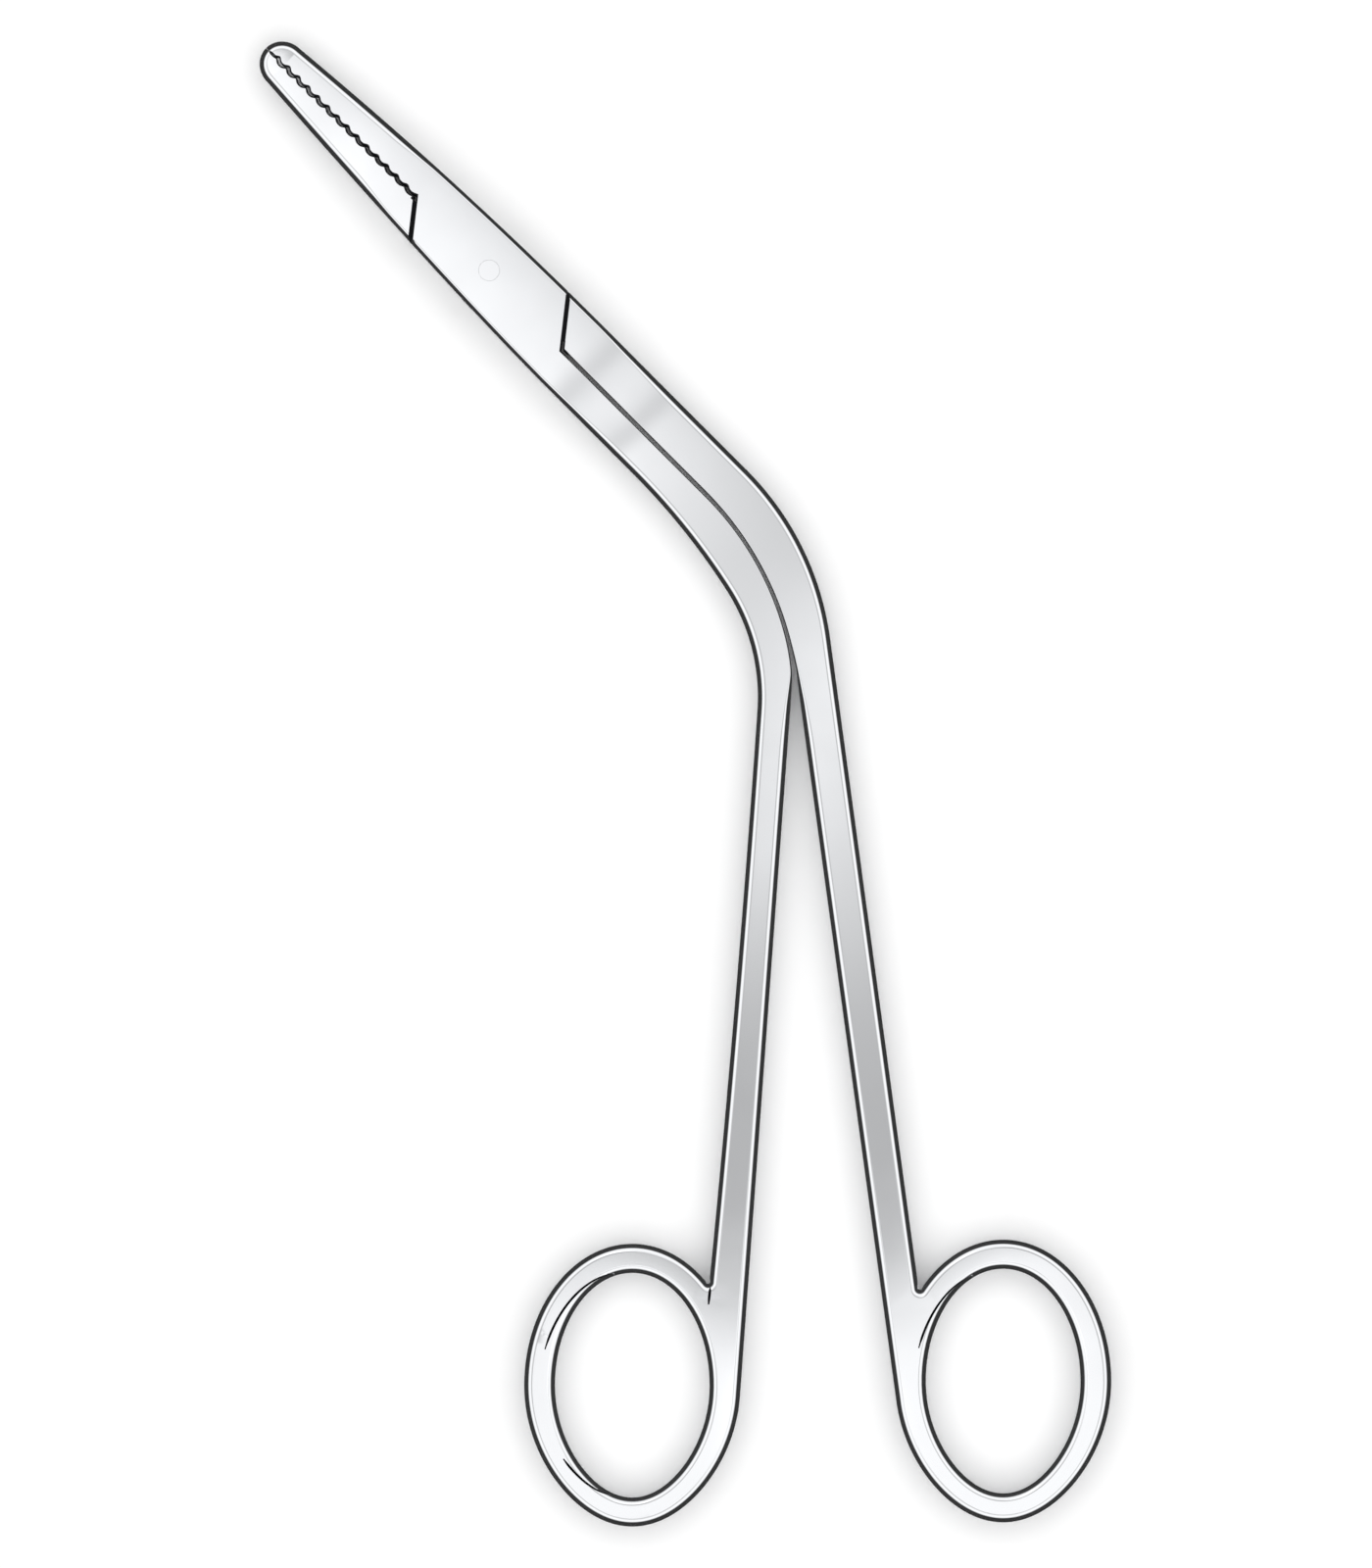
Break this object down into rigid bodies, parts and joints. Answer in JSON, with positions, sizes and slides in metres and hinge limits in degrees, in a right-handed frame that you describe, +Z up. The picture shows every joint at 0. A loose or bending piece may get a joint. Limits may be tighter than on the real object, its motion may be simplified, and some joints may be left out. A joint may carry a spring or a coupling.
{
  "type": "tonsil artery forceps",
  "caption": "Angled haemostatic forceps with serrated jaws, a box joint and spread oval finger rings; the tongue half swings open on a flush pivot pin.",
  "frame": {"origin": "the pivot pin's axis at the flat underside of the box joint, with the instrument lying flat and its jaws closed", "axes": "+Z up through the pivot pin, -Y toward the finger rings, +X toward the tongue half's ring; the jaws point to -X and +Y"},
  "size_m": [0.1024, 0.1786, 0.0054],
  "materials": {
    "surgical_steel": "satin to polished martensitic stainless steel",
    "pin_steel": "stainless steel pin, ground flush and polished with the box"
  },
  "bodies": {
    "box_half": {"box_half": "surgical_steel", "pivot_pin": "pin_steel"},
    "tongue_half": {"tongue_half": "surgical_steel"}
  },
  "joints": [
    {"name": "pivot", "type": "hinge", "parent": "box_half", "child": "tongue_half", "pos_m": [0, 0, 0.0027], "axis": [0, 0, 1], "range_deg": [0, 40]}
  ]
}
